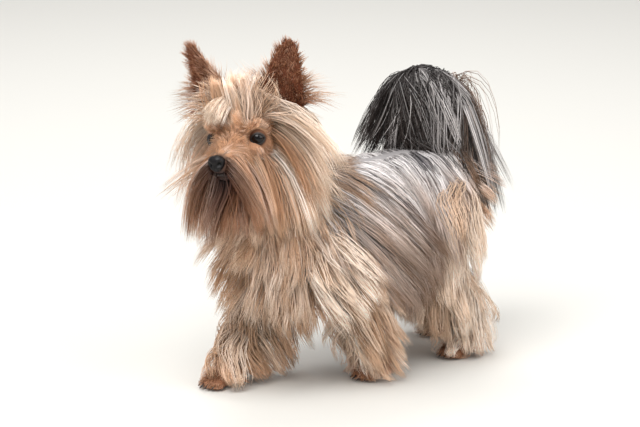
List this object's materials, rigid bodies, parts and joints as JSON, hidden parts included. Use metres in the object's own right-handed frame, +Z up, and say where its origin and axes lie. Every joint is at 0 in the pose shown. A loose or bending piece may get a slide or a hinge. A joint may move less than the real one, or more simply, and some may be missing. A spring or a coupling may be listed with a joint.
{
  "type": "yorkshire terrier",
  "caption": "Life-size still model of a small long-coated terrier stepping forward, head turned, tail up, long silky coat.",
  "frame": {"origin": "middle of the bounding box in plan, on the floor under the paws", "axes": "+Z up, the dog faces -Y, its left side is +X"},
  "size_m": [0.198, 0.4096, 0.3498],
  "materials": {
    "tan_coat": "silky golden tan hair",
    "cream_coat": "silky pale cream-gold hair",
    "silver_coat": "silky silver-blue hair",
    "dark_coat": "long dark steel-blue hair",
    "rust_coat": "short rusty tan hair",
    "eye": "wet dark brown-black",
    "nose": "damp black leather"
  },
  "bodies": {
    "root": {"eye_left": "eye", "eye_right": "eye", "nose": "nose", "ear_left": "rust_coat", "ear_right": "rust_coat", "head": "tan_coat", "neck": "cream_coat", "torso": "silver_coat", "tail": "dark_coat", "forepaw_left": "rust_coat", "forepaw_right": "rust_coat", "hindpaw_left": "rust_coat", "hindpaw_right": "rust_coat", "foreleg_left": "cream_coat", "foreleg_right": "cream_coat", "hindleg_left": "cream_coat", "hindleg_right": "cream_coat"}
  },
  "joints": []
}
